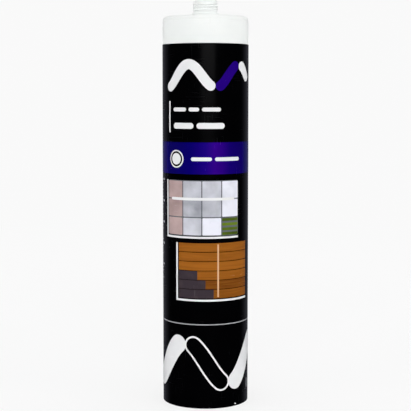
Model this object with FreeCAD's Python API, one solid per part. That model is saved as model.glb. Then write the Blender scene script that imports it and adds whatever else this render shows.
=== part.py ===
"""A 300 ml caulk tube: the rigid cartridge that a caulking gun empties.

It stands on its open rear end. The origin is the centre of the rear rim, and +Z runs
along the barrel towards the threaded stub. Lengths are in millimetres.

barrel   one white polyethylene moulding: tube, closed head, neck collar and threaded stub
label    the dark printed film wrapped round the barrel, with its butt seam at the back
piston   the cup that the gun pushes from behind, free to slide the whole length of the bore
sealant  the paste between the piston and the head, which also fills the stub's channel
"""

import FreeCAD
import Part
import math
import os

# Barrel
barrel_length = 215.0  # rear rim to the head's outer face
bore_radius = 22.5
barrel_wall = 1.2
head_thickness = 1.8
head_edge_radius = 2.6  # rounding between the tube's side and the head's face
head_inner_radius = 1.0  # the same corner on the inside
rim_chamfer = 0.4

# Lead-in at the rear end, where the piston is put in and the gun's push plate enters
lead_in_depth = 8.0
lead_in_relief = 0.25  # how much wider than the bore it is, on the radius

# Stub
stub_height = 10.2  # above the head's face
collar_radius = 7.5
collar_height = 2.0
thread_radius = 7.0  # over the crests
thread_depth = 0.5
thread_pitch = 1.5
thread_turns = 3.2
thread_root_width = 1.05
thread_crest_width = 0.4
thread_root_sink = 0.15  # how far the ridge is set into the core
thread_start_gap = 0.25  # collar to the foot of the first turn
tip_radius = 2.6  # rounding of the closed end
tip_wall = 1.0
channel_radius = 4.6

# Label
label_thickness = 0.25
label_gap = 0.05  # the adhesive between film and barrel
label_foot = 0.2  # bare barrel under the film
head_margin = 15.2  # bare barrel above the film
seam_width = 0.5

# Piston
piston_height = 16.0
piston_clearance = 0.08  # lip to bore, on the radius
piston_setback = 0.6  # end of the lead-in to the piston's rear edge
lip_height = 2.4
lip_chamfer = 0.5
waist_relief = 0.9  # how far the skirt is drawn in between the lips
skirt_wall = 1.3
floor_thickness = 1.5
crown_height = 2.5
crown_foot_radius = 17.0
crown_top_radius = 8.0
rib_count = 8
rib_thickness = 1.2
rib_depth = 3.5  # below the floor's outer part
boss_radius = 6.5
boss_wall = 1.3

# Sealant
paste_gap = 0.05  # paste to the walls round it
paste_piston_gap = 0.1

# What follows from them
barrel_radius = bore_radius + barrel_wall
head_inner_z = barrel_length - head_thickness
collar_top_z = barrel_length + collar_height
stub_top_z = barrel_length + stub_height
channel_top_z = stub_top_z - tip_wall
thread_core_radius = thread_radius - thread_depth
channel_tip_radius = tip_radius - tip_wall
lip_radius = bore_radius - piston_clearance
piston_rear_z = lead_in_depth + piston_setback
piston_front_z = piston_rear_z + piston_height
piston_edge_z = piston_front_z - crown_height


def edge(start, end):
    """A straight edge between two (radius, height) points."""
    return Part.LineSegment(
        FreeCAD.Vector(start[0], 0, start[1]), FreeCAD.Vector(end[0], 0, end[1])
    ).toShape()


def corner_arc(start, centre, end):
    """A quarter-round edge about a centre, all as (radius, height) points."""
    reach = math.dist(start, centre)
    aim = (start[0] + end[0] - 2 * centre[0], start[1] + end[1] - 2 * centre[1])
    share = reach / math.hypot(*aim)
    middle = (centre[0] + aim[0] * share, centre[1] + aim[1] * share)
    return Part.Arc(*[FreeCAD.Vector(r, 0, z) for r, z in (start, middle, end)]).toShape()


def turned(outline):
    """The solid that a closed outline sweeps round Z. A step of three points is an arc."""
    edges = []
    here = outline[0]
    for step in outline[1:] + outline[:1]:
        if len(step) == 3:
            _, centre, end = step
            edges.append(corner_arc(here, centre, end))
            here = end
        else:
            edges.append(edge(here, step))
            here = step
    face = Part.Face(Part.Wire(edges))
    return face.revolve(FreeCAD.Vector(0, 0, 0), FreeCAD.Vector(0, 0, 1), 360)


def arc_to(centre, end):
    """One rounded step of an outline."""
    return ("arc", centre, end)


def ring(outer, inner, low, high):
    """A plain tube between two heights."""
    return turned([(inner, low), (outer, low), (outer, high), (inner, high)])


def barrel_body():
    """Tube, head, collar and the stub without its thread, as one moulding."""
    lead_in_radius = bore_radius + lead_in_relief
    edge_z = barrel_length - head_edge_radius
    tip_z = stub_top_z - tip_radius
    channel_tip_z = channel_top_z - channel_tip_radius
    inner_edge_z = head_inner_z - head_inner_radius
    return turned(
        [
            (lead_in_radius, 0),
            (barrel_radius - rim_chamfer, 0),
            (barrel_radius, rim_chamfer),
            (barrel_radius, edge_z),
            arc_to(
                (barrel_radius - head_edge_radius, edge_z),
                (barrel_radius - head_edge_radius, barrel_length),
            ),
            (collar_radius, barrel_length),
            (collar_radius, collar_top_z),
            (thread_core_radius, collar_top_z),
            (thread_core_radius, tip_z),
            arc_to(
                (thread_core_radius - tip_radius, tip_z),
                (thread_core_radius - tip_radius, stub_top_z),
            ),
            (0, stub_top_z),
            (0, channel_top_z),
            (channel_radius - channel_tip_radius, channel_top_z),
            arc_to(
                (channel_radius - channel_tip_radius, channel_tip_z),
                (channel_radius, channel_tip_z),
            ),
            (channel_radius, head_inner_z),
            (bore_radius - head_inner_radius, head_inner_z),
            arc_to(
                (bore_radius - head_inner_radius, inner_edge_z),
                (bore_radius, inner_edge_z),
            ),
            (bore_radius, lead_in_depth + lead_in_relief),
            (lead_in_radius, lead_in_depth),
        ]
    )


def thread_ridge():
    """The stub's thread: a trapezium carried up a helix, its root sunk in the core."""
    root_radius = thread_core_radius - thread_root_sink
    start_z = collar_top_z + thread_start_gap + thread_root_width / 2
    profile = [
        (root_radius, start_z - thread_root_width / 2),
        (thread_radius, start_z - thread_crest_width / 2),
        (thread_radius, start_z + thread_crest_width / 2),
        (root_radius, start_z + thread_root_width / 2),
    ]
    helix = Part.makeHelix(thread_pitch, thread_pitch * thread_turns, thread_core_radius)
    helix.translate(FreeCAD.Vector(0, 0, start_z))
    outline = Part.Wire([edge(a, b) for a, b in zip(profile, profile[1:] + profile[:1])])
    sweep = Part.BRepOffsetAPI.MakePipeShell(Part.Wire(helix.Edges))
    sweep.setFrenetMode(True)
    sweep.add(outline)
    sweep.build()
    sweep.makeSolid()
    return sweep.shape()


def make_barrel():
    return barrel_body().fuse(thread_ridge())


def make_label():
    """The film's sleeve, open along a narrow butt seam at the back."""
    inner = barrel_radius + label_gap
    outer = inner + label_thickness
    top = barrel_length - head_margin
    sleeve = ring(outer, inner, label_foot, top)
    slit = Part.makeBox(seam_width, 2 * outer, top, FreeCAD.Vector(-seam_width / 2, 0, 0))
    return sleeve.cut(slit)


def piston_ribs():
    """Radial ribs and a centre boss under the floor, which the push plate bears on."""
    inner = lip_radius - waist_relief - skirt_wall
    low = piston_edge_z - floor_thickness - rib_depth
    sunk = floor_thickness / 2  # how far they run into the floor and the skirt
    room = turned(
        [
            (0, low),
            (inner + skirt_wall / 2, low),
            (inner + skirt_wall / 2, piston_edge_z - sunk),
            (crown_foot_radius, piston_edge_z - sunk),
            (crown_top_radius, piston_front_z - sunk),
            (0, piston_front_z - sunk),
        ]
    )
    spokes = ring(boss_radius, boss_radius - boss_wall, low, piston_front_z)
    for number in range(rib_count):
        spoke = Part.makeBox(
            bore_radius,
            rib_thickness,
            piston_front_z - low,
            FreeCAD.Vector(boss_radius - boss_wall / 2, -rib_thickness / 2, low),
        )
        spoke.rotate(
            FreeCAD.Vector(0, 0, 0), FreeCAD.Vector(0, 0, 1), 360 * number / rib_count
        )
        spokes = spokes.fuse(spoke)
    return spokes.common(room)


def make_piston():
    """A cup with its open side to the rear, two sealing lips and a low crown in front."""
    waist = lip_radius - waist_relief
    inner = waist - skirt_wall
    ramp = waist_relief  # the lips run into the waist at 45 degrees
    cup = turned(
        [
            (inner, piston_rear_z),
            (lip_radius - lip_chamfer, piston_rear_z),
            (lip_radius, piston_rear_z + lip_chamfer),
            (lip_radius, piston_rear_z + lip_height),
            (waist, piston_rear_z + lip_height + ramp),
            (waist, piston_edge_z - lip_height - ramp),
            (lip_radius, piston_edge_z - lip_height),
            (lip_radius, piston_edge_z - lip_chamfer),
            (lip_radius - lip_chamfer, piston_edge_z),
            (crown_foot_radius, piston_edge_z),
            (crown_top_radius, piston_front_z),
            (0, piston_front_z),
            (0, piston_front_z - floor_thickness),
            (crown_top_radius, piston_front_z - floor_thickness),
            (crown_foot_radius, piston_edge_z - floor_thickness),
            (inner, piston_edge_z - floor_thickness),
        ]
    )
    return cup.fuse(piston_ribs()).removeSplitter()


def make_sealant():
    """The paste: its rear face follows the piston, its front fills head and channel."""
    radius = bore_radius - paste_gap
    neck = channel_radius - paste_gap
    head_z = head_inner_z - paste_gap
    tip_z = channel_top_z - paste_gap
    rear_edge_z = piston_edge_z + paste_piston_gap
    rear_crown_z = piston_front_z + paste_piston_gap
    return turned(
        [
            (0, rear_crown_z),
            (crown_top_radius, rear_crown_z),
            (crown_foot_radius, rear_edge_z),
            (radius, rear_edge_z),
            (radius, head_z - head_inner_radius),
            arc_to(
                (radius - head_inner_radius, head_z - head_inner_radius),
                (radius - head_inner_radius, head_z),
            ),
            (neck, head_z),
            (neck, tip_z - channel_tip_radius),
            arc_to(
                (neck - channel_tip_radius, tip_z - channel_tip_radius),
                (neck - channel_tip_radius, tip_z),
            ),
            (0, tip_z),
        ]
    )


pieces = {
    "barrel": make_barrel(),
    "label": make_label(),
    "piston": make_piston(),
    "sealant": make_sealant(),
}

os.makedirs("parts", exist_ok=True)
for name, shape in pieces.items():
    solids = shape.Solids
    print(name, len(solids), "solid", shape.isValid(), round(shape.Volume / 1000, 3), "cm3")
    shape.exportStep(f"parts/{name}.step")

travel = head_inner_z - piston_front_z
print("piston travel to the head", round(travel, 3), "mm")
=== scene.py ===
import math
import random

import bmesh
import bpy
from mathutils import Matrix, Vector


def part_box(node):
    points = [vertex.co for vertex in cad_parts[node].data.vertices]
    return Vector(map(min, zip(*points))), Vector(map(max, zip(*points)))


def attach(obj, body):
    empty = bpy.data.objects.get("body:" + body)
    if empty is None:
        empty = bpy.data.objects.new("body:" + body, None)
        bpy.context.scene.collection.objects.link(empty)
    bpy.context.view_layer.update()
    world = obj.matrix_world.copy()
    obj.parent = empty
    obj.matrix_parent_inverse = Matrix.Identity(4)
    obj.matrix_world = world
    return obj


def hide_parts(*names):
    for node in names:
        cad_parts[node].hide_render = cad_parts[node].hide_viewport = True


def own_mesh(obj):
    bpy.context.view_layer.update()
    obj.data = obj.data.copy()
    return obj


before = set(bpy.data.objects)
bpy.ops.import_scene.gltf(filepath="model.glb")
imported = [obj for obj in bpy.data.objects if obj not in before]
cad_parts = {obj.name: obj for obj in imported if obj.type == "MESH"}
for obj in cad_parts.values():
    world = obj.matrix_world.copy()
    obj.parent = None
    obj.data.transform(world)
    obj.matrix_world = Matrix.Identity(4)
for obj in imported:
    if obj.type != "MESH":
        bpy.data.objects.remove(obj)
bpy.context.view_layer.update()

mm = 0.001

# The barrel: one injection moulding in white polyethylene. Tube, closed head, neck collar and the
# threaded stub are a single piece, a little rounded on every edge where the mould's parts meet.
# A ring mark runs round it where the mould's head insert starts.
tube_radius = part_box("barrel")[1].x
barrel_length = 215.0 * mm
bore_radius = 22.5 * mm
stub_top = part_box("barrel")[1].z
stub_radius = 6.5 * mm
stub_tip_radius = 2.6 * mm
gate_radius, gate_depth = 0.8 * mm, 0.2 * mm
channel_radius = 4.6 * mm
channel_top = stub_top - 1.0 * mm
collar_radius = 7.5 * mm
collar_top = barrel_length + 2.0 * mm
head_inside = barrel_length - 1.8 * mm
head_edge_radius = 2.6 * mm
ring_mark_height = barrel_length - head_edge_radius
ring_mark_width = 0.5 * mm
ring_mark_depth = 0.12 * mm
lead_in_radius = 22.75 * mm
lead_in_depth = 8.0 * mm


def rounded(corners, hold=0.12 * mm):
    """The points of an outline whose corners, each (x, z, rounding), are arcs."""
    turn_step = math.radians(13)
    points = []
    for place, (r, z, rounding) in enumerate(corners):
        here = Vector((r, z))
        if rounding == 0:
            points.append(here)
            continue
        back = (Vector(corners[place - 1][:2]) - here).normalized()
        ahead = (Vector(corners[(place + 1) % len(corners)][:2]) - here).normalized()
        half = back.angle(ahead) / 2
        reach = rounding / math.tan(half)
        centre = here + (back + ahead).normalized() * rounding / math.sin(half)
        start, end = here + back * reach, here + ahead * reach
        turn = (start - centre).angle_signed(end - centre)
        steps = max(3, math.ceil(abs(turn) / turn_step))
        points.append(start + back * hold)
        for step in range(steps + 1):
            points.append(centre + Matrix.Rotation(-turn * step / steps, 2) @ (start - centre))
        points.append(end + ahead * hold)
    return points


def put_in_scene(name, data):
    made = bpy.data.objects.new(name, data)
    bpy.context.scene.collection.objects.link(made)
    return made


def edge_object(name, points, closed=False):
    """An object of edges along points in the half-plane X, Z."""
    edges = [(i, i + 1) for i in range(len(points) - 1)]
    if closed:
        edges.append((len(points) - 1, 0))
    mesh = bpy.data.meshes.new(name)
    mesh.from_pydata([(p[0], 0, p[1]) for p in points], edges, [])
    return put_in_scene(name, mesh)


def new_tree(name, *sockets):
    """A geometry tree with a geometry in and out, and the named inputs (name, type)."""
    tree = bpy.data.node_groups.new(name, "GeometryNodeTree")
    tree.interface.new_socket("Geometry", in_out="INPUT", socket_type="NodeSocketGeometry")
    for label, kind in sockets:
        tree.interface.new_socket(label, in_out="INPUT", socket_type="NodeSocket" + kind)
    tree.interface.new_socket("Geometry", in_out="OUTPUT", socket_type="NodeSocketGeometry")
    return tree, tree.nodes.new("NodeGroupInput"), tree.nodes.new("NodeGroupOutput")


def node(tree, kind, settings=None, **inputs):
    """A node with its settings, its input values, and links where a value is a socket."""
    made = tree.nodes.new(kind)
    for key, value in (settings or {}).items():
        setattr(made, key, value)
    for key, value in inputs.items():
        socket = made.inputs[int(key[1:])] if key[1:].isdigit() else made.inputs[key.replace("_", " ")]
        if isinstance(value, bpy.types.NodeSocket):
            tree.links.new(value, socket)
        else:
            socket.default_value = value
    return made


def worked(tree, operation, *values, clamped=False):
    """The result of one step of arithmetic on sockets and numbers."""
    numbers = {"i%d" % place: value for place, value in enumerate(values)}
    settings = {"operation": operation, "use_clamp": clamped}
    return node(tree, "ShaderNodeMath", settings, **numbers).outputs[0]


def finished(name, source, tree, **values):
    """source with the tree and its values applied, as a plain mesh object."""
    modifier = source.modifiers.new(name, "NODES")
    modifier.node_group = tree
    for item in tree.interface.items_tree:
        if item.in_out == "INPUT" and item.name.replace(" ", "_") in values:
            modifier[item.identifier] = values[item.name.replace(" ", "_")]
    depsgraph = bpy.context.evaluated_depsgraph_get()
    mesh = bpy.data.meshes.new_from_object(source.evaluated_get(depsgraph), depsgraph=depsgraph)
    source.modifiers.remove(modifier)
    bpy.data.meshes.remove(source.data)
    mesh.name = name
    return put_in_scene(name, mesh)


def soft_edges(tree, geometry):
    """Smooth shading, but for edges that turn sharply."""
    sharp_turn = math.radians(34)
    smooth = node(tree, "GeometryNodeSetShadeSmooth", {"domain": "FACE"}, Geometry=geometry)
    angle = node(tree, "GeometryNodeInputMeshEdgeAngle")
    gentle = worked(tree, "LESS_THAN", angle.outputs[0], sharp_turn)
    return node(
        tree,
        "GeometryNodeSetShadeSmooth",
        {"domain": "EDGE"},
        Geometry=smooth.outputs[0],
        Shade_Smooth=gentle,
    )


def finish_tree(tree, geometry, given, out):
    """Ends a tree: its copies made real, and its finish put on."""
    whole = node(tree, "GeometryNodeRealizeInstances", Geometry=geometry)
    coloured = node(
        tree, "GeometryNodeSetMaterial", Geometry=whole.outputs[0], Material=given.outputs["Finish"]
    )
    tree.links.new(coloured.outputs[0], out.inputs[0])


def profile_of(tree, given, shift=(0.0, 0.0, 0.0)):
    """The outline that a tree is given, as a curve that stands across its way, moved by a shift."""
    flat = node(
        tree,
        "GeometryNodeTransform",
        Geometry=given.outputs["Geometry"],
        Rotation=(math.radians(90), 0, 0),
        Translation=shift,
    )
    return node(tree, "GeometryNodeMeshToCurve", Mesh=flat.outputs[0]).outputs[0]


def turning_tree():
    """Turns an outline in the half-plane X, Z round the Z axis. It runs clockwise from the axis."""
    tree, given, out = new_tree("turned", ("Steps round", "Int"), ("Finish", "Material"))
    spin_radius = 10 * mm
    outline = profile_of(tree, given, (-spin_radius, 0, 0))
    circle = node(
        tree,
        "GeometryNodeCurvePrimitiveCircle",
        Resolution=given.outputs["Steps round"],
        Radius=spin_radius,
    )
    upright = node(tree, "GeometryNodeSetCurveNormal", {"mode": "Z_UP"}, Curve=circle.outputs[0])
    skin = node(tree, "GeometryNodeCurveToMesh", Curve=upright.outputs[0], Profile_Curve=outline)
    closed = node(tree, "GeometryNodeMergeByDistance", Geometry=skin.outputs[0], Distance=0.002 * mm)
    shaded = soft_edges(tree, closed.outputs[0])
    finish_tree(tree, shaded.outputs[0], given, out)
    return tree


def sample(red, green, blue):
    """A colour as it is read off a printed sample, from 0 to 255, as a material takes it."""
    shares = [value / 255 for value in (red, green, blue)]
    return tuple(s / 12.92 if s <= 0.04045 else ((s + 0.055) / 1.055) ** 2.4 for s in shares)


def ranged(tree, value, low, high, first=0.0, last=1.0, smooth=False):
    """A value between two limits taken over to another range, at a steady pace or a smooth one."""
    limits = {"From_Min": low, "From_Max": high, "To_Min": first, "To_Max": last}
    pace = {"interpolation_type": "SMOOTHSTEP" if smooth else "LINEAR"}
    return node(tree, "ShaderNodeMapRange", pace, Value=value, **limits).outputs[0]


def cloud(tree, place, scale, **settings):
    """Soft noise about a half, of two steps unless the settings say more."""
    settings = {"Detail": 2.0, **settings}
    return node(tree, "ShaderNodeTexNoise", Vector=place, Scale=scale, **settings).outputs[0]


def mixed(tree, share, first, second):
    """A colour between two."""
    return node(tree, "ShaderNodeMix", {"data_type": "RGBA"}, i0=share, i6=first, i7=second).outputs[2]


def object_place(tree):
    """Where a point of a piece lies in the cartridge's own frame."""
    return node(tree, "ShaderNodeTexCoord").outputs["Object"]


def new_group(name, given_sockets, made_sockets):
    """A shader group with the named inputs and outputs (name, type)."""
    tree = bpy.data.node_groups.new(name, "ShaderNodeTree")
    for way, sockets in (("INPUT", given_sockets), ("OUTPUT", made_sockets)):
        for label, kind in sockets:
            tree.interface.new_socket(label, in_out=way, socket_type="NodeSocket" + kind)
    return tree, tree.nodes.new("NodeGroupInput"), tree.nodes.new("NodeGroupOutput")


def handling_group():
    """Wear that every finish of the cartridge shares: cloudy mottle, fine scuffs and a relief."""
    tree, given, out = new_group(
        "handling",
        (("Mottle scale", "Float"), ("Scuff scale", "Float"), ("Scuff share", "Float")),
        (("Mottle", "Float"), ("Scuffs", "Float"), ("Relief", "Float")),
    )
    place = object_place(tree)
    mottle = cloud(tree, place, given.outputs["Mottle scale"])
    tall = node(tree, "ShaderNodeMapping", Vector=place, Scale=(1.0, 1.0, 0.03))
    streaks = cloud(tree, tall.outputs[0], given.outputs["Scuff scale"])
    flat = node(tree, "ShaderNodeMapping", Vector=place, Scale=(0.04, 0.04, 1.0))
    rings = cloud(tree, flat.outputs[0], given.outputs["Scuff scale"])
    crossing = worked(tree, "MAXIMUM", streaks, rings)
    lines = ranged(tree, crossing, 0.64, 0.72, smooth=True)
    patches = ranged(tree, mottle, 0.5, 0.66, smooth=True)
    worn = worked(tree, "MULTIPLY", lines, patches)
    scuffs = worked(tree, "MULTIPLY", worn, given.outputs["Scuff share"])
    skin = cloud(tree, place, given.outputs["Scuff scale"])
    relief = worked(tree, "SUBTRACT", skin, scuffs)
    tree.links.new(mottle, out.inputs["Mottle"])
    tree.links.new(scuffs, out.inputs["Scuffs"])
    tree.links.new(relief, out.inputs["Relief"])
    return tree


handling = handling_group()


def new_finish(
    name, dark, light, smooth, dull, bump=0.04, scuffed=None, scuff_share=0.3, mottle_scale=60.0,
    tone=None, specular=0.5,
):
    """A finish between two colours and two roughnesses, with the shared wear on it."""
    finish = bpy.data.materials.new(name)
    finish.use_nodes = True
    tree = finish.node_tree
    shader = tree.nodes["Principled BSDF"]
    wear = node(
        tree,
        "ShaderNodeGroup",
        {"node_tree": handling},
        Mottle_scale=mottle_scale,
        Scuff_scale=2400.0,
        Scuff_share=scuff_share,
    )
    if tone:
        colour = tone(tree, wear.outputs["Mottle"])
    else:
        colour = mixed(tree, wear.outputs["Mottle"], (*dark, 1), (*light, 1))
    worn = mixed(tree, wear.outputs["Scuffs"], colour, (*(scuffed or light), 1))
    gloss = ranged(tree, wear.outputs["Mottle"], 0.35, 0.65, smooth, dull)
    rough = worked(tree, "ADD", gloss, wear.outputs["Scuffs"], clamped=True)
    relief = node(
        tree, "ShaderNodeBump", Strength=bump, Distance=0.05 * mm, Height=wear.outputs["Relief"]
    )
    tree.links.new(worn, shader.inputs["Base Color"])
    tree.links.new(rough, shader.inputs["Roughness"])
    tree.links.new(relief.outputs[0], shader.inputs["Normal"])
    shader.inputs["IOR"].default_value = 1.5
    shader.inputs["Specular IOR Level"].default_value = specular
    return finish


white_moulding = new_finish(
    "white_moulding", sample(231, 234, 233), sample(241, 243, 241), 0.34, 0.46, bump=0.08,
    scuffed=sample(218, 220, 219), specular=0.06,
)
turned = turning_tree()

half_mark = ring_mark_width / 2
barrel_corners = [
    (0, stub_top - gate_depth, 0),
    (gate_radius, stub_top - gate_depth, 0.1 * mm),
    (gate_radius + 0.2 * mm, stub_top, 0.1 * mm),
    (stub_radius, stub_top, stub_tip_radius),
    (stub_radius, collar_top, 0.3 * mm),
    (collar_radius, collar_top, 0.3 * mm),
    (collar_radius, barrel_length, 0.4 * mm),
    (tube_radius, barrel_length, head_edge_radius - ring_mark_width),
    (tube_radius, ring_mark_height + half_mark, 0.05 * mm),
    (tube_radius - ring_mark_depth, ring_mark_height, 0.05 * mm),
    (tube_radius, ring_mark_height - half_mark, 0.05 * mm),
    (tube_radius, 0, 0.35 * mm),
    (lead_in_radius, 0, 0.25 * mm),
    (lead_in_radius, lead_in_depth, 0.1 * mm),
    (bore_radius, lead_in_depth + 0.25 * mm, 0.1 * mm),
    (bore_radius, head_inside, 1.0 * mm),
    (channel_radius, head_inside, 0.5 * mm),
    (channel_radius, channel_top, 1.6 * mm),
    (0, channel_top, 0),
]
barrel_body = finished(
    "barrel_body",
    edge_object("barrel_outline", rounded(barrel_corners)),
    turned,
    Steps_round=192,
    Finish=white_moulding,
)
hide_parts("barrel")
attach(barrel_body, "cartridge")

# The thread on the stub: a right-hand ridge that belongs to the same moulding. Its crest is well
# rounded, so that it leaves the mould easily, and it runs out into the stub's wall at both ends.
thread_root = 6.35 * mm
thread_crest = 6.85 * mm
thread_pitch = 1.5 * mm
thread_turns = 3.2
thread_foot_width = 1.48 * mm
thread_crest_width = 0.3 * mm
thread_crest_rounding = 0.34 * mm
thread_start = collar_top + 0.775 * mm
thread_run_out = 0.09  # of its length, at each end


def thread_tree():
    """Carries a closed outline up a helix, and lets it shrink into the wall at both ends."""
    tree, given, out = new_tree(
        "thread",
        ("Root radius", "Float"),
        ("Pitch", "Float"),
        ("Turns", "Float"),
        ("Start height", "Float"),
        ("Run out", "Float"),
        ("Finish", "Material"),
    )
    rise = worked(tree, "MULTIPLY", given.outputs["Pitch"], given.outputs["Turns"])
    helix = node(
        tree,
        "GeometryNodeCurveSpiral",
        Resolution=72,
        Rotations=given.outputs["Turns"],
        Start_Radius=given.outputs["Root radius"],
        End_Radius=given.outputs["Root radius"],
        Height=rise,
        Reverse=True,
    )
    upright = node(tree, "GeometryNodeSetCurveNormal", {"mode": "Z_UP"}, Curve=helix.outputs[0])
    along = node(tree, "GeometryNodeSplineParameter")
    left = worked(tree, "SUBTRACT", 1.0, along.outputs["Factor"])
    nearest = worked(tree, "MINIMUM", along.outputs["Factor"], left)
    size = ranged(tree, nearest, 0.0, given.outputs["Run out"], 0.04, 1.0, smooth=True)
    ridge = node(
        tree,
        "GeometryNodeCurveToMesh",
        Curve=upright.outputs[0],
        Profile_Curve=profile_of(tree, given),
        Scale=size,
        Fill_Caps=True,
    )
    lift = node(tree, "ShaderNodeCombineXYZ", Z=given.outputs["Start height"])
    raised = node(tree, "GeometryNodeTransform", Geometry=ridge.outputs[0], Translation=lift.outputs[0])
    shaded = soft_edges(tree, raised.outputs[0])
    finish_tree(tree, shaded.outputs[0], given, out)
    return tree


thread_depth = thread_crest - thread_root
thread_corners = [
    (0, thread_foot_width / 2, 0),
    (thread_depth, thread_crest_width / 2, thread_crest_rounding),
    (thread_depth, -thread_crest_width / 2, thread_crest_rounding),
    (0, -thread_foot_width / 2, 0),
]
stub_thread = finished(
    "stub_thread",
    edge_object("thread_outline", rounded(thread_corners, hold=0.03 * mm), closed=True),
    thread_tree(),
    Root_radius=thread_root,
    Pitch=thread_pitch,
    Turns=thread_turns,
    Start_height=thread_start,
    Run_out=thread_run_out,
    Finish=white_moulding,
)
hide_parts("barrel")
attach(stub_thread, "cartridge")

# The label: a black printed film wrapped once round the tube and glued down, with its two ends
# meeting in a narrow butt seam at the back. It stands a little proud of the bare white head.
film_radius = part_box("label")[1].y
film_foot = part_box("label")[0].z
film_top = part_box("label")[1].z
ink_layer = 0.03 * mm
film_skin_radius = film_radius - 3 * ink_layer
film_inside = tube_radius + 0.01 * mm
seam_width = 0.5 * mm
seam_half_angle = seam_width / 2 / film_radius


def sleeve_tree():
    """Sweeps a closed outline, drawn at the sleeve's radius, from one side of the seam to the other."""
    tree, given, out = new_tree(
        "sleeve",
        ("Radius", "Float"),
        ("Start angle", "Float"),
        ("Sweep angle", "Float"),
        ("Steps round", "Int"),
        ("Finish", "Material"),
    )
    way = node(
        tree,
        "GeometryNodeCurveArc",
        Resolution=given.outputs["Steps round"],
        Radius=given.outputs["Radius"],
        Start_Angle=given.outputs["Start angle"],
        Sweep_Angle=given.outputs["Sweep angle"],
    )
    upright = node(tree, "GeometryNodeSetCurveNormal", {"mode": "Z_UP"}, Curve=way.outputs[0])
    inward = worked(tree, "MULTIPLY", given.outputs["Radius"], -1.0)
    shift = node(tree, "ShaderNodeCombineXYZ", X=inward)
    outline = profile_of(tree, given, shift.outputs[0])
    skin = node(
        tree, "GeometryNodeCurveToMesh", Curve=upright.outputs[0], Profile_Curve=outline, Fill_Caps=True
    )
    shaded = soft_edges(tree, skin.outputs[0])
    finish_tree(tree, shaded.outputs[0], given, out)
    return tree


def film_finish(name, dark, light, scuffed, scuff_share=0.1, tone=None):
    """Ink on film under a clear varnish, with the film's own wear."""
    return new_finish(
        name, dark, light, 0.2, 0.25, bump=0.03, scuffed=scuffed, scuff_share=scuff_share,
        mottle_scale=90.0, tone=tone,
    )


black_ink = film_finish(
    "black_ink", (0.0003, 0.0003, 0.0005), (0.0010, 0.0010, 0.0014), sample(30, 30, 33)
)
film_edge = 0.06 * mm
film_corners = [
    (film_inside, film_top, film_edge),
    (film_skin_radius, film_top, film_edge),
    (film_skin_radius, film_foot, film_edge),
    (film_inside, film_foot, film_edge),
]
film_sleeve = finished(
    "film_sleeve",
    edge_object("film_outline", rounded(film_corners, hold=0.02 * mm), closed=True),
    sleeve_tree(),
    Radius=film_skin_radius,
    Start_angle=math.radians(90) + seam_half_angle,
    Sweep_angle=math.radians(360) - 2 * seam_half_angle,
    Steps_round=241,
    Finish=black_ink,
)
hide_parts("label")
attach(film_sleeve, "cartridge")

# The coloured band round the film: a deep violet ink, the first layer on the black, which flows to
# a dark blue violet and back three times round the tube. All print is drawn flat, in millimetres
# round from the middle of the front and up, cut in narrow columns, and then laid on the tube.
column_width = 0.6
band_foot, band_top = 129.4, 146.6
film_girth = 2 * math.pi * film_radius / mm
film_reach = film_girth / 2 - 0.4
band_colours = [
    (-50, (12, 6, 90)),
    (-20, (9, 1, 102)),
    (0, (24, 0, 119)),
    (12, (47, 2, 129)),
    (22, (41, 3, 122)),
    (34, (19, 1, 105)),
    (52, (16, 2, 96)),
]


def laying_tree():
    """Bends a flat print round the tube and gives it an ink layer's depth, closed on all sides."""
    tree, given, out = new_tree(
        "laid on tube", ("Radius", "Float"), ("Depth", "Float"), ("Finish", "Material")
    )
    where = node(tree, "GeometryNodeInputPosition")
    parts = node(tree, "ShaderNodeSeparateXYZ", Vector=where.outputs[0])
    to_metres = worked(tree, "MULTIPLY", parts.outputs["X"], mm)
    angle = worked(tree, "DIVIDE", to_metres, given.outputs["Radius"])
    sine = worked(tree, "SINE", angle)
    cosine = worked(tree, "COSINE", angle)
    across = worked(tree, "MULTIPLY", sine, given.outputs["Radius"])
    inward = worked(tree, "MULTIPLY", given.outputs["Radius"], -1.0)
    forward = worked(tree, "MULTIPLY", cosine, inward)
    height = worked(tree, "MULTIPLY", parts.outputs["Z"], mm)
    bent = node(tree, "ShaderNodeCombineXYZ", X=across, Y=forward, Z=height)
    sheet = node(
        tree, "GeometryNodeSetPosition", Geometry=given.outputs["Geometry"], Position=bent.outputs[0]
    )
    down = worked(tree, "MULTIPLY", given.outputs["Depth"], -1.0)
    sunk = node(
        tree, "GeometryNodeExtrudeMesh", {"mode": "FACES"}, Mesh=sheet.outputs[0],
        Offset_Scale=down, Individual=False,
    )
    under = node(tree, "GeometryNodeFlipFaces", Mesh=sunk.outputs["Mesh"])
    both = node(tree, "GeometryNodeJoinGeometry")
    tree.links.new(sheet.outputs[0], both.inputs[0])
    tree.links.new(under.outputs[0], both.inputs[0])
    closed = node(tree, "GeometryNodeMergeByDistance", Geometry=both.outputs[0], Distance=0.001 * mm)
    shaded = soft_edges(tree, closed.outputs[0])
    finish_tree(tree, shaded.outputs[0], given, out)
    return tree


def flat_fields(name, outlines):
    """A flat object of filled outlines, cut in columns narrow enough to bend round the tube."""
    shape = bmesh.new()
    for outline in outlines:
        face = shape.faces.new([shape.verts.new((x, 0, z)) for x, z in outline])
        face.normal_update()
        if face.normal.y > 0:
            face.normal_flip()
    stations = [vertex.co.x for vertex in shape.verts]
    first, last = math.ceil(min(stations) / column_width), math.floor(max(stations) / column_width)
    for column in range(first, last + 1):
        whole = shape.verts[:] + shape.edges[:] + shape.faces[:]
        cut = (column * column_width, 0, 0)
        bmesh.ops.bisect_plane(shape, geom=whole, dist=0.001, plane_co=cut, plane_no=(1, 0, 0))
    mesh = bpy.data.meshes.new(name)
    shape.to_mesh(mesh)
    shape.free()
    return put_in_scene(name, mesh)


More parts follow.
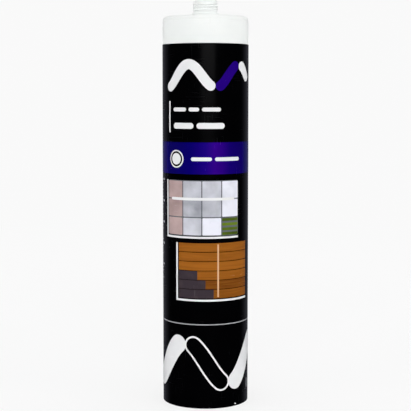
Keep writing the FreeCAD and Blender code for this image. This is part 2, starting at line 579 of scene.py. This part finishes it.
def block(left, right, foot, top, rounding=0.0):
    """The outline of an upright block, with its corners rounded or square."""
    corners = [(left, foot), (right, foot), (right, top), (left, top)]
    return rounded([(x, z, rounding) for x, z in corners], hold=0.01)


def on_film(piece):
    """A layer of ink belongs to the film and goes where the cartridge goes."""
    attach(piece, "cartridge")
    return piece


def ink_sizes(layer):
    """The radius of an ink layer and how deep it goes, down into the film."""
    return {"Radius": film_skin_radius + layer * ink_layer, "Depth": layer * ink_layer + 0.01 * mm}


def print_fields(name, outlines, finish, layer):
    source = flat_fields(name, outlines)
    return on_film(finished(name, source, laid_on_tube, Finish=finish, **ink_sizes(layer)))


def band_tone(tree, mottle):
    """The band's colour by the angle round the tube, the same again each third of the way.

    The colours' places are degrees from the middle of the front, from -60 to 60.
    """
    parts = node(tree, "ShaderNodeSeparateXYZ", Vector=object_place(tree))
    back = worked(tree, "MULTIPLY", parts.outputs["Y"], -1.0)
    angle = worked(tree, "ARCTAN2", parts.outputs["X"], back)
    thirds = worked(tree, "MULTIPLY_ADD", angle, 1.5 / math.pi, 10.5)
    share = worked(tree, "FRACT", thirds)
    ramp = node(tree, "ShaderNodeValToRGB", Fac=share)
    stops = ramp.color_ramp.elements
    for number, (degrees, colour) in enumerate(band_colours):
        place = degrees / 120 + 0.5
        stop = stops[number] if number < 2 else stops.new(place)
        stop.position = place
        stop.color = (*sample(*colour), 1)
    fading = ranged(tree, mottle, 0.3, 0.7, 0.92, 1.08)
    faded = node(
        tree, "ShaderNodeVectorMath", {"operation": "SCALE"}, i0=ramp.outputs[0], Scale=fading
    )
    return faded.outputs[0]


laid_on_tube = laying_tree()
violet_band_ink = film_finish(
    "violet_band_ink", sample(24, 0, 119), sample(24, 0, 119), sample(56, 24, 140), scuff_share=0.06,
    tone=band_tone
)
band = block(-film_reach, film_reach, band_foot, band_top)
print_fields("violet_band", [band], violet_band_ink, 1)

# The two printed panels: a tiled wall and a boarded one in flat colours, as a four-colour print
# gives them. A panel is a backing in the joints' colour, and its tiles or boards are set out in
# rows on it, each a little lighter or darker than the next.
tiled_panel = (-24.0, 20.0, 95.9, 126.0)  # left, right, foot, top
boarded_panel = (-16.0, 28.0, 61.4, 91.9)
tile_width, tile_height, joint = 10.4, 9.4, 0.6
tile_pitch, row_pitch = tile_width + joint, tile_height + joint
board_height, board_gap = 4.75, 0.35
board_pitch = board_height + board_gap
slate_reaches = (20.5, 16.0, 11.5)
panel_rounding = 1.4
tile_rounding = 0.5
board_rounding = 0.3
strip_height, strip_pitch = 1.6, 2.55


def end_on_tube(tree, geometry, given, out):
    """Ends a tree: what it has drawn flat is laid on the tube."""
    laid = node(
        tree,
        "GeometryNodeGroup",
        {"node_tree": laid_on_tube},
        Geometry=geometry,
        Radius=given.outputs["Radius"],
        Depth=given.outputs["Depth"],
        Finish=given.outputs["Finish"],
    )
    tree.links.new(laid.outputs[0], out.inputs[0])


def rows_tree():
    """Sets a flat piece out in rows and columns, each copy in its own shade, laid on the tube."""
    tree, given, out = new_tree(
        "set out in rows",
        ("Columns", "Int"),
        ("Rows", "Int"),
        ("Column pitch", "Float"),
        ("Row pitch", "Float"),
        ("Seed", "Int"),
        ("Radius", "Float"),
        ("Depth", "Float"),
        ("Finish", "Material"),
    )
    index = node(tree, "GeometryNodeInputIndex")
    count = worked(tree, "MULTIPLY", given.outputs["Columns"], given.outputs["Rows"])
    column = worked(tree, "MODULO", index.outputs[0], given.outputs["Columns"])
    full_rows = worked(tree, "DIVIDE", index.outputs[0], given.outputs["Columns"])
    row = worked(tree, "FLOOR", full_rows)
    across = worked(tree, "MULTIPLY", column, given.outputs["Column pitch"])
    up = worked(tree, "MULTIPLY", row, given.outputs["Row pitch"])
    place = node(tree, "ShaderNodeCombineXYZ", X=across, Z=up)
    points = node(tree, "GeometryNodePoints", Count=count, Position=place.outputs[0])
    copies = node(
        tree,
        "GeometryNodeInstanceOnPoints",
        Points=points.outputs[0],
        Instance=given.outputs["Geometry"],
    )
    chance = node(tree, "FunctionNodeRandomValue", {"data_type": "FLOAT"}, Seed=given.outputs["Seed"])
    shaded = node(
        tree,
        "GeometryNodeStoreNamedAttribute",
        {"data_type": "FLOAT", "domain": "INSTANCE"},
        Geometry=copies.outputs[0],
        Name="shade",
        Value=chance.outputs[1],
    )
    whole = node(tree, "GeometryNodeRealizeInstances", Geometry=shaded.outputs[0])
    end_on_tube(tree, whole.outputs[0], given, out)
    return tree


set_out_in_rows = rows_tree()


def print_rows(name, outline, finish, layout, pitches, seed):
    """Copies of one outline in (columns, rows) at (column, row) pitches, in the second ink layer."""
    piece = finished(
        name,
        flat_fields(name, [outline]),
        set_out_in_rows,
        Columns=layout[0],
        Rows=layout[1],
        Column_pitch=pitches[0],
        Row_pitch=pitches[1],
        Seed=seed,
        Finish=finish,
        **ink_sizes(2),
    )
    return on_film(piece)


def printed_shade_group():
    """A colour between two by the copy's own shade, with a fine printed grain along the copy."""
    tree, given, out = new_group(
        "printed shade",
        (("Dark", "Color"), ("Light", "Color"), ("Grain", "Vector")),
        (("Colour", "Color"),),
    )
    shade = node(tree, "ShaderNodeAttribute", {"attribute_name": "shade"})
    drawn = node(tree, "ShaderNodeMapping", Vector=object_place(tree), Scale=given.outputs["Grain"])
    fine = cloud(tree, drawn.outputs[0], 1.0, Detail=3.0)
    grain = worked(tree, "MULTIPLY_ADD", fine, 0.9, -0.45)
    share = worked(tree, "ADD", shade.outputs["Fac"], grain, clamped=True)
    colour = mixed(tree, share, given.outputs["Dark"], given.outputs["Light"])
    tree.links.new(colour, out.inputs["Colour"])
    return tree


printed_shade = printed_shade_group()


def picture_finish(name, dark, light, grain=(120.0, 120.0, 120.0)):
    """An ink of the panels, from its darkest to its lightest shade, rubbed a little lighter."""
    darkest, lightest = sample(*dark), sample(*light)

    def tone(tree, mottle):
        shades = {"Dark": (*darkest, 1), "Light": (*lightest, 1), "Grain": grain}
        return node(tree, "ShaderNodeGroup", {"node_tree": printed_shade}, **shades).outputs["Colour"]

    rubbed = tuple(1.3 * share for share in lightest)
    return film_finish(name, darkest, lightest, rubbed, scuff_share=0.05, tone=tone)


joint_grey = picture_finish("joint_grey_ink", (98, 100, 106), (122, 124, 130))
tile_pale = picture_finish("tile_pale_ink", (140, 142, 150), (234, 235, 245))
tile_rose = picture_finish("tile_rose_ink", (118, 98, 96), (190, 166, 164))
leaf_green = picture_finish("leaf_green_ink", (52, 66, 22), (112, 136, 44))
board_seam = picture_finish("board_seam_ink", (26, 13, 6), (44, 24, 12))
board_amber = picture_finish(
    "board_amber_ink", (84, 42, 14), (160, 96, 32), grain=(70.0, 70.0, 1400.0)
)
slate_ink = picture_finish("slate_ink", (60, 52, 58), (108, 92, 92))

left, right, foot, top = tiled_panel
inset = joint / 2
print_fields("tiled_backing", [block(left, right, foot, top, panel_rounding)], joint_grey, 1)
tile_left, tile_foot = left + inset, foot + inset
first_tile = block(
    tile_left, tile_left + tile_width, tile_foot, tile_foot + tile_height, tile_rounding
)
tile_pitches = (tile_pitch, row_pitch)


def moved(outline, across, up):
    return [Vector((x + across, z + up)) for x, z in outline]


print_rows("rose_tiles", first_tile, tile_rose, (1, 3), tile_pitches, 3)
print_rows("pale_tiles", moved(first_tile, tile_pitch, row_pitch), tile_pale, (3, 2), tile_pitches, 8)
print_rows("low_pale_tiles", moved(first_tile, tile_pitch, 0), tile_pale, (2, 1), tile_pitches, 5)
strip_left = tile_left + 3 * tile_pitch
green_strip = block(
    strip_left, strip_left + tile_width, tile_foot, tile_foot + strip_height, board_rounding
)
print_rows("green_strips", green_strip, leaf_green, (1, 4), (tile_pitch, strip_pitch), 2)

left, right, foot, top = boarded_panel
print_fields("boarded_backing", [block(left, right, foot, top, panel_rounding)], board_seam, 1)
board_left, board_foot = left + 0.3, foot + 0.2
first_board = block(
    board_left, right - 0.3, board_foot, board_foot + board_height, board_rounding
)
print_rows("amber_boards", first_board, board_amber, (1, 6), (1.0, board_pitch), 11)
slate_boards = []
for reach in slate_reaches:
    slate_boards.append(
        block(board_left, left + reach, board_foot, board_foot + board_height, board_rounding)
    )
    board_foot += board_pitch
print_fields("slate_boards", slate_boards, slate_ink, 3)

# The lines and shapes printed over everything, in white, violet, grey and black ink: strokes that
# follow a path on the flat drawing, with round or square ends. A wavy bead stands at the top, and
# larger ribbons run round the foot, filled and outlined in turn.
bead_width = 5.4
bead_wave_length = 29.6
bead_wave_height = 6.3
bead_middle = 182.3
bead_crest = -9.3
ribbon_width = 10.2
ribbon_line = 0.95
ribbon_wave_height = 12.4
ribbon_middle = 25.2
ribbon_wave_length = film_girth / 3
ribbon_crest = -11.6
ribbon_gap = 0.5
print_middle = (band_foot + band_top) / 2 - 0.45  # of the shapes on the band
dot_place = (-17.4, print_middle)
dot_ring_radius, dot_gap_radius, dot_radius = 4.5, 3.66, 3.12
ring_height = 47.0
panel_line = 1.1
upright_line = (-22.7, 151.8, 17.0, 1.1)  # x, foot, length, width
bar_gap = 1.7
bar_rows = [  # left end, height, width, gap, and the bars' lengths
    (-19.4, 164.3, 2.1, 1.5, (8.5, 6.0, 10.4)),
    (-19.2, 155.5, 3.2, bar_gap, (12.6, 15.6)),
    (-8.0, print_middle, 2.0, bar_gap, (11.5, 15.4)),
]
cross_bar = (3.0, 20.0, 38.0, 1.5)  # on the tiled panel: from its left and foot, length, width
cut_mark = (18.2, 1.5)


def stroke_tree():
    """Draws strokes of ink along flat paths, each as wide as its points say, on the tube."""
    tree, given, out = new_tree(
        "strokes",
        ("Steps across", "Int"),
        ("Radius", "Float"),
        ("Depth", "Float"),
        ("Finish", "Material"),
    )
    paths = node(tree, "GeometryNodeMeshToCurve", Mesh=given.outputs["Geometry"])
    facing = node(
        tree, "GeometryNodeSetCurveNormal", {"mode": "FREE"}, Curve=paths.outputs[0], Normal=(0, -1, 0)
    )
    line = node(tree, "GeometryNodeCurvePrimitiveLine", Start=(0, -1, 0), End=(0, 1, 0))
    across = node(
        tree, "GeometryNodeResampleCurve", {"mode": "COUNT"}, Curve=line.outputs[0],
        Count=given.outputs["Steps across"],
    )
    half = node(tree, "GeometryNodeInputNamedAttribute", {"data_type": "FLOAT"}, Name="half_width")
    ribbon = node(
        tree, "GeometryNodeCurveToMesh", Curve=facing.outputs[0], Profile_Curve=across.outputs[0],
        Scale=half.outputs[0],
    )
    end_on_tube(tree, ribbon.outputs[0], given, out)
    return tree


def runs_along(line):
    runs = [0.0]
    for here, there in zip(line, line[1:]):
        runs.append(runs[-1] + math.dist(here, there))
    return runs


def points_at(line, stops):
    """The points at some distances along a line of points."""
    runs = runs_along(line)
    points, place = [], 0
    for stop in stops:
        while place < len(runs) - 2 and runs[place + 1] < stop:
            place += 1
        share = (stop - runs[place]) / (runs[place + 1] - runs[place])
        points.append(tuple(a + (b - a) * share for a, b in zip(line[place], line[place + 1])))
    return points


def even_stops(start, end):
    steps = max(1, math.ceil((end - start) / column_width))
    return [start + (end - start) * step / steps for step in range(steps + 1)]


def straight_ends(line, length):
    """The line with its two ends straight for a length, so that a round end is a true half circle."""
    core = points_at(line, even_stops(length, runs_along(line)[-1] - length))
    ends = []
    for tip, inner in ((core[0], core[1]), (core[-1], core[-2])):
        share = length / math.dist(tip, inner)
        ends.append(tuple(a + (a - b) * share for a, b in zip(tip, inner)))
    return ends[:1] + core + ends[1:]


def stroke(line, width, round_ends=True):
    """A stroke along a line of points: its points, half its width at each, and that it is open."""
    half = width / 2
    if round_ends:
        line = straight_ends(line, half)
    reach = runs_along(line)[-1]
    stops = even_stops(0, reach)
    if round_ends:
        caps = [half * (1 - math.cos(math.radians(degrees))) for degrees in range(0, 90, 10)]
        stops = caps + even_stops(half, reach - half) + [reach - cap for cap in reversed(caps)]
    halves = []
    for stop in stops:
        near = min(stop, reach - stop) / half
        keep = math.sqrt(max(0.0, 1 - (1 - near) ** 2)) if round_ends and near < 1 else 1.0
        halves.append(half * max(keep, 0.02))
    return points_at(line, stops), halves, False


def loop(points, width):
    """A stroke of one width along a line that closes on itself."""
    line = [tuple(point) for point in points] + [tuple(points[0])]
    close_points = points_at(line, even_stops(0, runs_along(line)[-1]))[:-1]
    return close_points, [width / 2] * len(close_points), True


def circle_line(place, radius, width):
    turns = [math.radians(degrees) for degrees in range(0, 360, 8)]
    points = [(place[0] + radius * math.cos(t), place[1] + radius * math.sin(t)) for t in turns]
    return loop(points, width)


def capsule_line(line, outer_width, width):
    """The outline of a round-ended stroke, as a closed line of its own width."""
    reach = runs_along(line)[-1]
    aside = (outer_width - width) / 2
    core = points_at(line, even_stops(outer_width / 2, reach - outer_width / 2))
    there, back = [], []
    for place, (x, z) in enumerate(core):
        before, after = core[max(place - 1, 0)], core[min(place + 1, len(core) - 1)]
        run = math.dist(before, after)
        away = ((before[1] - after[1]) / run * aside, (after[0] - before[0]) / run * aside)
        there.append((x + away[0], z + away[1]))
        back.append((x - away[0], z - away[1]))
    far_end, near_end = round_end(core[-1], there[-1]), round_end(core[0], back[0])
    return loop(there + far_end + back[::-1] + near_end, width)


def round_end(centre, start):
    """Half a circle about a centre, clockwise from a start, without its first and last points."""
    arm = Vector((start[0] - centre[0], start[1] - centre[1]))
    turned_arms = [Matrix.Rotation(-math.radians(degrees), 2) @ arm for degrees in range(15, 180, 15)]
    return [(centre[0] + turned_arm.x, centre[1] + turned_arm.y) for turned_arm in turned_arms]


def straight(x, z, reach, width, upright=False, round_ends=False):
    """A straight stroke to the right of its left end, or upright from its foot."""
    far = (x, z + reach) if upright else (x + reach, z)
    return stroke([(x, z), far], width, round_ends)


def wave(start, end, length, height, middle, crest):
    """Points along a wave between two distances round the tube."""
    steps = math.ceil((end - start) / 0.1)
    places = [start + (end - start) * step / steps for step in range(steps + 1)]
    return [(x, middle + height * math.cos(2 * math.pi * (x - crest) / length)) for x in places]


def print_strokes(name, drawn, finish, layer, steps_across):
    """One ink piece made of many strokes."""
    mesh = bpy.data.meshes.new(name)
    points, edges, halves = [], [], []
    for path, widths, closed in drawn:
        first = len(points)
        points += [(x, 0, z) for x, z in path]
        halves += widths
        edges += [(first + i, first + i + 1) for i in range(len(path) - 1)]
        if closed:
            edges.append((first + len(path) - 1, first))
    mesh.from_pydata(points, edges, [])
    attribute = mesh.attributes.new("half_width", "FLOAT", "POINT")
    attribute.data.foreach_set("value", halves)
    source = put_in_scene(name, mesh)
    sizes = ink_sizes(layer)
    return on_film(finished(name, source, strokes, Steps_across=steps_across, Finish=finish, **sizes))


def bead(start, end):
    return wave(start, end, bead_wave_length, bead_wave_height, bead_middle, bead_crest)


strokes = stroke_tree()
white_ink = film_finish("white_ink", sample(226, 227, 229), sample(238, 238, 239), sample(200, 200, 202))
violet_ink = film_finish("violet_ink", sample(30, 3, 112), sample(40, 5, 126), sample(74, 60, 130))
grey_ink = film_finish("grey_ink", sample(150, 151, 155), sample(178, 179, 183), sample(110, 110, 114))

filled = [stroke(bead(-24.4, 5.2), bead_width), stroke(bead(20.6, 29.4), bead_width)]
outlines = []
half_wave = ribbon_wave_length / 2
for turn in range(6):
    start = ribbon_crest + half_wave * turn + ribbon_gap / 2
    end = start + half_wave - ribbon_gap
    path = wave(start, end, ribbon_wave_length, ribbon_wave_height, ribbon_middle, ribbon_crest)
    if turn % 2:
        filled.append(stroke(path, ribbon_width))
    else:
        outlines.append(capsule_line(path, ribbon_width, ribbon_line))
print_strokes("white_ribbons", filled, white_ink, 3, 21)
print_strokes("violet_bead", [stroke(bead(5.7, 20.1), bead_width)], violet_ink, 3, 15)

lines = outlines
lines.append(straight(*upright_line, upright=True))
for bar_left, height, width, gap, reaches in bar_rows:
    for reach in reaches:
        lines.append(straight(bar_left, height, reach, width, round_ends=True))
        bar_left += reach + gap
lines.append(circle_line(dot_place, dot_ring_radius, 0.7))
for left, right, foot, top in (tiled_panel, boarded_panel):
    lines.append(straight(left - 1.0, foot - 1.55, top - foot + 1.55, panel_line, upright=True))
    lines.append(straight(left - 0.4, foot - 1.0, right - left + 0.4, panel_line))
across, up, reach, width = cross_bar
lines.append(straight(tiled_panel[0] + across, tiled_panel[2] + up, reach, width, round_ends=True))
print_strokes("white_lines", lines, white_ink, 3, 5)
ring = straight(-film_reach, ring_height, 2 * film_reach, 0.55)
print_strokes("ring_line", [ring], grey_ink, 1, 2)
print_strokes("dot_gap", [circle_line(dot_place, dot_gap_radius, 1.3)], black_ink, 2, 3)


def disc(place, radius):
    turns = [math.radians(degrees) for degrees in range(0, 360, 6)]
    return [Vector((place[0] + radius * math.cos(t), place[1] + radius * math.sin(t))) for t in turns]


print_fields("white_discs", [disc(dot_place, dot_radius), disc(cut_mark, 0.42)], white_ink, 3)
pale_orange = film_finish(
    "pale_orange_ink", sample(206, 160, 110), sample(226, 186, 140), sample(180, 150, 120)
)
strip = straight(boarded_panel[0] + 23.0, boarded_panel[2] + 0.8, 29.0, 0.9, upright=True)
print_strokes("orange_strip", [strip], pale_orange, 3, 3)

# The small print on the sides and the back, as plain bars and shapes: columns of short bars, a
# white panel of uneven stripes, and a row of tiles with a plain shape in each.
small_height = 0.62
small_pitch = 1.97
word_gap = 0.75
columns_of_print = [  # left, right, top, rows
    (-65.0, -31.6, 125.7, 30),
    (36.5, 69.0, 100.0, 17),
    (36.5, 69.0, 190.0, 12),
    (-65.0, -36.0, 190.0, 9),
]
heading_every = 6
heading_height = 1.1
stripe_panel = (40.0, 66.0, 51.5, 64.5)
tile_side = 8.6
shape_tiles = [(41.5, 118.0), (52.0, 118.0), (62.5, 118.0)]
draw = random.Random(5725)


def print_column(left, right, top, rows):
    """Rows of bars of chance lengths between two edges, every sixth row a bolder one."""
    bars = []
    for row in range(rows):
        z = top - row * small_pitch
        x = left
        heading = row % heading_every == 0
        row_end = right + 1.5 if heading else right - draw.uniform(0, 3.0)
        while x < row_end - 1.5:
            reach = min(draw.uniform(1.6, 6.2), row_end - x)
            bars.append(straight(x, z, reach, heading_height if heading else small_height))
            x += reach + word_gap
    return bars


small_print = []
for column in columns_of_print:
    small_print += print_column(*column)
small_print.append(straight(30.7, 8.3, 5.2, 1.0, upright=True))
print_strokes("small_print", small_print, grey_ink, 1, 2)
left, right, foot, top = stripe_panel
print_fields("stripe_panel", [block(left, right, foot, top, 0.8)], white_ink, 1)
stripes = []
x = left + 2.0
while x < right - 2.4:
    width = draw.choice((0.3, 0.3, 0.5, 0.8))
    stripes.append(straight(x, foot + 1.4, top - foot - 2.8, width, upright=True))
    x += width + draw.choice((0.3, 0.5, 0.7))
print_strokes("panel_stripes", stripes, black_ink, 2, 2)
shapes = []
for x, z in shape_tiles:
    square = ((x, z), (x + tile_side, z), (x + tile_side, z + tile_side), (x, z + tile_side))
    shapes.append(loop(rounded([(*corner, 1.3) for corner in square], hold=0.3), 0.6))
middle_up = shape_tiles[0][1] + tile_side / 2
x = shape_tiles[0][0] + 1.9
for rise, reach in ((-1.7, 4.8), (-0.2, 4.8), (1.6, 1.5)):
    shapes.append(straight(x, middle_up + rise, reach, 0.9, round_ends=True))
x = shape_tiles[1][0] + 1.6
shapes.append(straight(x + 1.2, middle_up + 0.8, 3.0, 2.2, round_ends=True))
shapes.append(straight(x, middle_up - 1.9, tile_side - 3.2, 0.8, round_ends=True))
x = shape_tiles[2][0] + 2.0
for lean in (0.0, 1.8, 3.6):
    shapes.append(stroke([(x + lean, middle_up - 2.0), (x + lean + 1.1, middle_up + 2.0)], 0.9))
print_strokes("tile_shapes", shapes, white_ink, 1, 3)

# The piston: a cup moulded in milky natural polyethylene, open to the rear, with two sealing lips.
# Eight ribs and a centre boss under its floor take the push of the gun's plate.
piston_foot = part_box("piston")[0].z
piston_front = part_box("piston")[1].z
lip_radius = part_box("piston")[1].x
crown_height = 2.5 * mm
piston_edge = piston_front - crown_height
lip_height = 2.4 * mm
waist_relief = 0.9 * mm
waist_radius = lip_radius - waist_relief
cup_inside = waist_radius - 1.3 * mm
floor_thickness = 1.5 * mm
crown_foot_radius, crown_top_radius = 17.0 * mm, 8.0 * mm
boss_radius, boss_wall = 6.5 * mm, 1.3 * mm
rib_count = 8
rib_thickness = 1.2 * mm
rib_foot = piston_edge - floor_thickness - 3.5 * mm
sunk = 0.75 * mm
softened = 0.2 * mm


def spread_tree():
    """Copies a piece evenly round the Z axis."""
    tree, given, out = new_tree("spread round", ("Count", "Int"), ("Finish", "Material"))
    points = node(tree, "GeometryNodePoints", Count=given.outputs["Count"])
    index = node(tree, "GeometryNodeInputIndex")
    step = worked(tree, "DIVIDE", 2 * math.pi, given.outputs["Count"])
    turn = worked(tree, "MULTIPLY", index.outputs[0], step)
    turned_by = node(tree, "ShaderNodeCombineXYZ", Z=turn)
    copies = node(
        tree,
        "GeometryNodeInstanceOnPoints",
        Points=points.outputs[0],
        Instance=given.outputs["Geometry"],
        Rotation=turned_by.outputs[0],
    )
    whole = node(tree, "GeometryNodeRealizeInstances", Geometry=copies.outputs[0])
    shaded = soft_edges(tree, whole.outputs[0])
    finish_tree(tree, shaded.outputs[0], given, out)
    return tree


def on_plunger(piece):
    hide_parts("piston")
    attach(piece, "plunger")


milky_moulding = new_finish(
    "milky_moulding", sample(206, 208, 204), sample(226, 227, 222), 0.34, 0.48, bump=0.07,
    scuffed=sample(196, 197, 193), scuff_share=0.5,
)
cup_corners = [
    (0, piston_front, 0),
    (crown_top_radius, piston_front, 0.8 * mm),
    (crown_foot_radius, piston_edge, 0.8 * mm),
    (lip_radius, piston_edge, 0.5 * mm),
    (lip_radius, piston_edge - lip_height, 0.3 * mm),
    (waist_radius, piston_edge - lip_height - waist_relief, 0.4 * mm),
    (waist_radius, piston_foot + lip_height + waist_relief, 0.4 * mm),
    (lip_radius, piston_foot + lip_height, 0.3 * mm),
    (lip_radius, piston_foot, 0.5 * mm),
    (cup_inside, piston_foot, 0.3 * mm),
    (cup_inside, piston_edge - floor_thickness, 0.6 * mm),
    (crown_foot_radius, piston_edge - floor_thickness, 0.6 * mm),
    (crown_top_radius, piston_front - floor_thickness, 0.6 * mm),
    (0, piston_front - floor_thickness, 0),
]
piston_cup = finished(
    "piston_cup",
    edge_object("cup_outline", rounded(cup_corners)),
    turned,
    Steps_round=144,
    Finish=milky_moulding,
)
on_plunger(piston_cup)
boss_corners = [
    (boss_radius - boss_wall, piston_front - sunk, 0),
    (boss_radius, piston_front - sunk, 0),
    (boss_radius, rib_foot, softened),
    (boss_radius - boss_wall, rib_foot, softened),
]
piston_boss = finished(
    "piston_boss",
    edge_object("boss_outline", rounded(boss_corners), closed=True),
    turned,
    Steps_round=96,
    Finish=milky_moulding,
)
on_plunger(piston_boss)
rib_outline = [
    (boss_radius - boss_wall / 2, rib_foot),
    (cup_inside + sunk, rib_foot),
    (cup_inside + sunk, piston_edge - sunk),
    (crown_foot_radius, piston_edge - sunk),
    (crown_top_radius, piston_front - sunk),
    (boss_radius - boss_wall / 2, piston_front - sunk),
]
rib_shape = bmesh.new()
rib_side = rib_shape.faces.new([rib_shape.verts.new((x, -rib_thickness / 2, z)) for x, z in rib_outline])
far_side = bmesh.ops.extrude_face_region(rib_shape, geom=[rib_side])
moved_over = [item for item in far_side["geom"] if isinstance(item, bmesh.types.BMVert)]
bmesh.ops.translate(rib_shape, verts=moved_over, vec=(0, rib_thickness, 0))
bmesh.ops.recalc_face_normals(rib_shape, faces=rib_shape.faces[:])
foot_edges = [
    edge for edge in rib_shape.edges if all(vertex.co.z < rib_foot + 0.01 * mm for vertex in edge.verts)
]
bmesh.ops.bevel(rib_shape, geom=foot_edges, offset=softened, segments=3, profile=0.5, affect="EDGES")
rib_mesh = bpy.data.meshes.new("rib")
rib_shape.to_mesh(rib_mesh)
rib_shape.free()
rib = put_in_scene("rib", rib_mesh)
on_plunger(finished("piston_ribs", rib, spread_tree(), Count=rib_count, Finish=milky_moulding))

# The paste: soft white filler in two pieces, its main body between piston and head and the rest in the
# stub's channel.
paste_gap = 0.05 * mm
paste_radius = bore_radius - paste_gap
paste_head = head_inside - paste_gap
neck_radius = channel_radius - paste_gap
paste_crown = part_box("sealant")[0].z + crown_height


paste_shade, paste_light = sample(224, 224, 220), sample(240, 240, 237)


def paste_tone(tree, mottle):
    # The paste's colour goes lighter and darker in patches of noise: painted shade of folds on its
    # smooth surface.
    painted_fold_shade = cloud(tree, object_place(tree), 160.0, Detail=3.0, Distortion=1.2)
    return mixed(tree, painted_fold_shade, (*paste_shade, 1), (*paste_light, 1))


white_filler = new_finish(
    "white_filler", paste_shade, paste_light, 0.3, 0.5, bump=0.2,
    scuffed=sample(230, 230, 227), scuff_share=0.1, tone=paste_tone,
)
paste_corners = [
    (0, paste_head, 0),
    (paste_radius, paste_head, 1.0 * mm),
    (paste_radius, paste_crown - crown_height, 0.3 * mm),
    (crown_foot_radius, paste_crown - crown_height, 0.5 * mm),
    (crown_top_radius, paste_crown, 0.5 * mm),
    (0, paste_crown, 0),
]
paste_body = finished(
    "paste_body",
    edge_object("paste_outline", rounded(paste_corners)),
    turned,
    Steps_round=96,
    Finish=white_filler,
)
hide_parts("sealant")
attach(paste_body, "cartridge")
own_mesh(paste_body)
neck_corners = [
    (0, channel_top - paste_gap, 0),
    (neck_radius, channel_top - paste_gap, 1.6 * mm),
    (neck_radius, paste_head, 0.2 * mm),
    (0, paste_head, 0),
]
paste_neck = finished(
    "paste_neck",
    edge_object("neck_outline", rounded(neck_corners)),
    turned,
    Steps_round=64,
    Finish=white_filler,
)
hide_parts("sealant")
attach(paste_neck, "cartridge")

# The stage: a plain pale table top under the cartridge. It is one-sided, so that a look from
# below passes through it. It keeps the shadow close by and fades to the background further off.
def table_finish():
    finish = bpy.data.materials.new("table_top")
    finish.use_nodes = True
    tree = finish.node_tree
    tree.nodes.clear()
    out = node(tree, "ShaderNodeOutputMaterial")
    matt = node(tree, "ShaderNodeBsdfDiffuse", Color=(0.82, 0.82, 0.82, 1))
    distance = node(tree, "ShaderNodeVectorMath", {"operation": "LENGTH"}, i0=object_place(tree))
    share = ranged(tree, distance.outputs["Value"], 0.3, 0.9, 0.75, 1.0, smooth=True)
    level = ranged(tree, share, 0.75, 1.0, 1.0, 0.95)
    white = node(tree, "ShaderNodeEmission", Color=(1.0, 1.0, 1.0, 1), Strength=level)
    seen = node(tree, "ShaderNodeMixShader", i0=share, i1=matt.outputs[0], i2=white.outputs[0])
    clear = node(tree, "ShaderNodeBsdfTransparent")
    side = node(tree, "ShaderNodeNewGeometry")
    shown = node(
        tree,
        "ShaderNodeMixShader",
        i0=side.outputs["Backfacing"],
        i1=seen.outputs[0],
        i2=clear.outputs[0],
    )
    tree.links.new(shown.outputs[0], out.inputs["Surface"])
    return finish


table_half = 3.0
table_mesh = bpy.data.meshes.new("table_top")
table_corners = [(x * table_half, y * table_half, 0) for x, y in ((-1, -1), (1, -1), (1, 1), (-1, 1))]
table_mesh.from_pydata(table_corners, [], [(0, 1, 2, 3)])
table_mesh.materials.append(table_finish())
table_top = put_in_scene("table_top", table_mesh)
table_top.visible_glossy = False
table_top.visible_diffuse = False
table_top.visible_shadow = False

# The light: a ring of six large soft lamps round the cartridge, and one under the table top for
# what a white table throws up. The gloss mirrors none of them. It mirrors a dark room, paler
# behind the cartridge, and one wide window by the camera.
ring_distance = 1.5
ring_height_up = 0.95
ring_watts = {0: 17.5, 60: 12.2, 120: 11.6, 180: 9.5, 240: 10.8, 300: 11.2}


def room():
    world = bpy.data.worlds.new("room")
    world.use_nodes = True
    tree = world.node_tree
    tree.nodes.clear()
    out = node(tree, "ShaderNodeOutputWorld")
    seen = node(tree, "ShaderNodeBackground", Color=(0.95, 0.95, 0.95, 1), Strength=1.0)
    direction = node(tree, "ShaderNodeTexCoord")
    parts = node(tree, "ShaderNodeSeparateXYZ", Vector=direction.outputs["Generated"])
    behind = ranged(tree, parts.outputs["Y"], 0.38, 0.95, 0.0, 0.15)
    mirrored = node(
        tree, "ShaderNodeBackground", Color=(0.95, 0.95, 1.15, 1), Strength=behind
    )
    light_path = node(tree, "ShaderNodeLightPath")
    camera_view = node(
        tree, "ShaderNodeMixShader", i0=light_path.outputs["Is Camera Ray"], i1=mirrored.outputs[0],
        i2=seen.outputs[0],
    )
    tree.links.new(camera_view.outputs[0], out.inputs["Surface"])
    bpy.context.scene.world = world


def lamp(name, place, target, width, height, watts, mirrored):
    light = bpy.data.lights.new(name, "AREA")
    light.shape = "RECTANGLE"
    light.size, light.size_y = width, height
    light.energy = watts
    light.cycles.use_multiple_importance_sampling = mirrored
    made = put_in_scene(name, light)
    made.location = place
    made.rotation_euler = (Vector(target) - Vector(place)).to_track_quat("-Z", "Y").to_euler()
    made.visible_glossy = mirrored
    made.visible_camera = False


room()
lamp("window", (0.19, -1.5, 0.66), (0.0, 0.0, 0.66), 0.95, 0.9, 0.85, True)
lamp("table_glow", (0, 0, -0.01), (0, 0, 1), 3.0, 3.0, 22.6, False)
for degrees, watts in ring_watts.items():
    turn = math.radians(degrees)
    place = (ring_distance * math.sin(turn), -ring_distance * math.cos(turn), ring_height_up)
    lamp("ring_%d" % degrees, place, (0, 0, 0.11), 1.4, 1.6, watts, False)

# The camera: level with the middle of the tube's upper half, turned a little down.
camera_distance, camera_height = 0.6422, 0.17028
camera_dip = 5.3344  # degrees below level
camera_data = bpy.data.cameras.new("camera")
camera_data.sensor_width = 36.0
camera_data.lens = 100.51
camera_data.clip_start = 0.01
camera = put_in_scene("camera", camera_data)
camera.location = (0.0, -camera_distance, camera_height)
camera.rotation_euler = (math.radians(90 - camera_dip), 0, 0)
bpy.context.scene.camera = camera
bpy.context.scene.view_settings.view_transform = "Standard"
